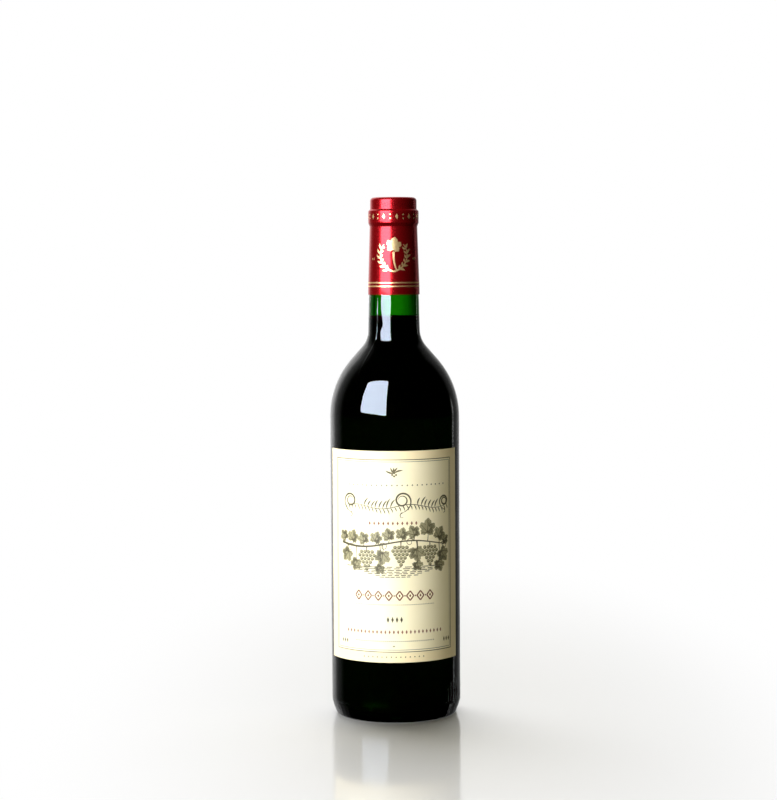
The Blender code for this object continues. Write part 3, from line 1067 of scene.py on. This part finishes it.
# The small ornaments: a sprig at the top, lozenge clusters in the lower corners.
SPRIG = Vector((-0.6 * MM, 143.6 * MM))
SPRIG_LEAVES = [(18.0, 5.2), (58.0, 3.8), (90.0, 3.2), (122.0, 3.8), (162.0, 5.2)]
SPRIG_BERRIES = [(-1.1, -0.9), (0.0, -1.7), (1.1, -0.9), (0.0, 0.1)]
BERRY = 1.2 * MM
CORNER_ROWS = [(46.7, -35.2, -31.2, 3, 1.3, 3.0), (47.3, 30.6, 34.6, 3, 1.3, 3.0)]
FOOT_LOZENGE = Vector((-1.3 * MM, 44.9 * MM))

shape = bmesh.new()
for degrees, length in SPRIG_LEAVES:
    pen_leaf(shape, SPRIG, length * MM, math.radians(degrees), 0.95 * MM)
for along, rise in SPRIG_BERRIES:
    patch(shape, SPRIG + Vector((along * MM, rise * MM)), BERRY, BERRY, DOT_SIDES)
for row in CORNER_ROWS:
    ornament_row(shape, row)
patch(shape, FOOT_LOZENGE, 1.6 * MM, 0.9 * MM)
print_on_label("sprig_and_corners", shape, sepia_ink)


# The room: a pale floor that mirrors faintly, one large soft light at the left in front, and
# white all round the back, with the front of the room kept dark.
FLOOR_SIZE = 12.0
FLOOR_FAR = 0.24
FLOOR_SHIFT = -0.03
FLOOR_SQUEEZE = 0.35
SOFTBOX_CORNERS = [(-0.259, -0.966, 0.20), (-0.259, -0.966, 1.22), (-1.345, -0.686, 1.39),
                   (-1.345, -0.686, 0.30)]
SOFTBOX_RADIANCE = 21.0
KEY_POWER = 47.0
KEY_SIZE = (1.1, 1.05)
KEY_AIM = Vector((0.0, 0.0, 0.12))
# How bright the room looks from the bottle in each direction: azimuth in degrees from the
# camera's side, positive to the right, and brightness.
ROOM = [(-180, 1.15), (-157, 1.2), (-143, 1.15), (-133, 0.38), (-125, 0.22), (-118, 0.14), (-110, 0.02),
        (-105, 0.0), (122, 0.0), (133, 0.10), (138, 0.12), (144, 0.17), (150, 0.26), (158, 0.42),
        (165, 0.55), (171, 0.78), (176, 1.1), (180, 1.15)]
# A narrow bright strip at the right behind; its reflection ends low on the shoulder.
STRIP = [(-180, 0.0), (122, 0.0), (124.5, 0.127), (127, 1.155), (129.5, 0.082), (133, 0.0), (180, 0.0)]
STRIP_TOP = (0.06, 0.17)
HORIZON = (-0.22, -0.09)
FILL = (0.130, 0.118, 0.060)
WHITE = (1.0, 1.0, 1.0, 1.0)
BACK_LIGHT = 5.0

floor_white, tree, shader, place = new_finish(
    "glossy white floor", Base_Color=colour("EFEFEF"), IOR=1.45, Roughness=0.10)
# Away from the bottle the floor turns into a plain white glow, as overexposed white does.
squeezed = node(tree, "Mapping", {"Location": (FLOOR_SHIFT, 0.0, 0.0), "Scale": (1.0, FLOOR_SQUEEZE, 1.0),
                                  "Vector": place})
reach = node(tree, "VectorMath", {0: squeezed.outputs["Vector"]}, operation="LENGTH")
away = node(tree, "MapRange", {"Value": reach.outputs["Value"], "From Max": FLOOR_FAR},
            interpolation_type="SMOOTHSTEP")
glow = node(tree, "Emission", {"Color": WHITE, "Strength": 1.0})
mixed = node(tree, "MixShader", {0: away.outputs["Result"], 1: shader.outputs["BSDF"],
                                 2: glow.outputs["Emission"]})
feed(tree, tree.nodes["Material Output"], {"Surface": mixed.outputs["Shader"]})
shape = bmesh.new()
bmesh.ops.create_grid(shape, x_segments=1, y_segments=1, size=FLOOR_SIZE / 2.0)
floor = placed("floor", shape, floor_white)
floor.visible_glossy = False
floor.visible_diffuse = False

# The light's cloth is only seen as the bluish window mirrored in the glass and the foil.
lamp_white = bpy.data.materials.new("softbox cloth")
lamp_white.use_nodes = True
tree = lamp_white.node_tree
tree.nodes.remove(tree.nodes["Principled BSDF"])
glow = node(tree, "Emission", {"Color": colour("DDE8FF"), "Strength": SOFTBOX_RADIANCE})
feed(tree, tree.nodes["Material Output"], {"Surface": glow.outputs["Emission"]})
shape = bmesh.new()
shape.faces.new([shape.verts.new(corner) for corner in SOFTBOX_CORNERS])
softbox = placed("softbox", shape, lamp_white)
softbox.visible_camera = False
softbox.visible_diffuse = False
softbox.visible_shadow = False

softbox_middle = sum((Vector(corner) for corner in SOFTBOX_CORNERS), Vector()) / 4.0
key_light = bpy.data.lights.new("key", "AREA")
key_light.shape = "RECTANGLE"
key_light.size, key_light.size_y = KEY_SIZE
key_light.energy = KEY_POWER
key = bpy.data.objects.new("key", key_light)
key.location = softbox_middle
key.rotation_euler = (KEY_AIM - softbox_middle).to_track_quat("-Z", "Y").to_euler()
key.visible_glossy = False
key.visible_transmission = False
# The floor gets its light from behind only, so that the foot's shadow falls forwards.
not_lit = bpy.data.collections.new("not lit by the key")
not_lit.objects.link(floor)
not_lit.collection_objects[0].light_linking.link_state = "EXCLUDE"
key.light_linking.receiver_collection = not_lit
bpy.context.scene.collection.objects.link(key)


def all_round(tree, share, table):
    """Brightness all round the horizon, from a table of azimuths and brightnesses."""
    made = node(tree, "ValToRGB", {"Fac": share})
    stops = made.color_ramp.elements
    while len(stops) < len(table):
        stops.new(0.5)
    for stop, (azimuth, brightness) in zip(stops, table):
        stop.position = (azimuth + 180.0) / 360.0
        stop.color = (brightness, brightness, brightness, 1.0)
    return made.outputs["Color"]


def vectors(tree, operation, inputs):
    """A sum on colours or vectors."""
    return node(tree, "VectorMath", inputs, operation=operation).outputs["Vector"]


world = bpy.data.worlds.new("room")
world.use_nodes = True
tree = world.node_tree
background = tree.nodes["Background"]
axes = node(tree, "SeparateXYZ", {"Vector": node(tree, "TexCoord").outputs["Generated"]})
share = between(tree, azimuth_of(tree, axes), 0.0, 1.0, -math.pi, math.pi)
walls = all_round(tree, share, ROOM)
strip = all_round(tree, share, STRIP)
strip_shown = between(tree, axes.outputs["Z"], 1.0, 0.0, *STRIP_TOP)
room_seen = vectors(tree, "MULTIPLY_ADD", {0: strip, 1: strip_shown, 2: walls})
room_light = vectors(tree, "ADD", {0: strip, 1: walls})
# Reflections below the horizon are dimmer, as the floor is; diffuse light comes from behind.
low = between(tree, axes.outputs["Z"], 0.45, 1.0, *HORIZON)
mirrored = vectors(tree, "SCALE", {0: room_seen, "Scale": low})
scattered = vectors(tree, "MULTIPLY_ADD", {0: room_light, 1: (BACK_LIGHT, BACK_LIGHT, BACK_LIGHT), 2: FILL})
rays = node(tree, "LightPath")
filled = two_tones(tree, rays.outputs["Is Diffuse Ray"], mirrored, scattered)
feed(tree, background, {"Color": two_tones(tree, rays.outputs["Is Camera Ray"], filled, WHITE)})
bpy.context.scene.world = world
bpy.context.scene.view_settings.view_transform = "Standard"


# The camera, where the photograph was taken from: level with the capsule, looking down a
# little, 1.27 m away with a long lens.
CAMERA_PLACE = Vector((-3.5 * MM, -1270.0 * MM, 264.0 * MM))
CAMERA_PITCH = math.radians(3.66)
CAMERA_ROLL = math.radians(0.37)
SENSOR = 36.0
LENS = 98.55
camera_data = bpy.data.cameras.new("camera")
camera_data.sensor_width = SENSOR
camera_data.lens = LENS
camera = bpy.data.objects.new("camera", camera_data)
tilt = Matrix.Rotation(math.pi / 2.0 - CAMERA_PITCH, 4, "X")
camera.matrix_world = Matrix.Translation(CAMERA_PLACE) @ tilt @ Matrix.Rotation(-CAMERA_ROLL, 4, "Z")
bpy.context.scene.collection.objects.link(camera)
bpy.context.scene.camera = camera
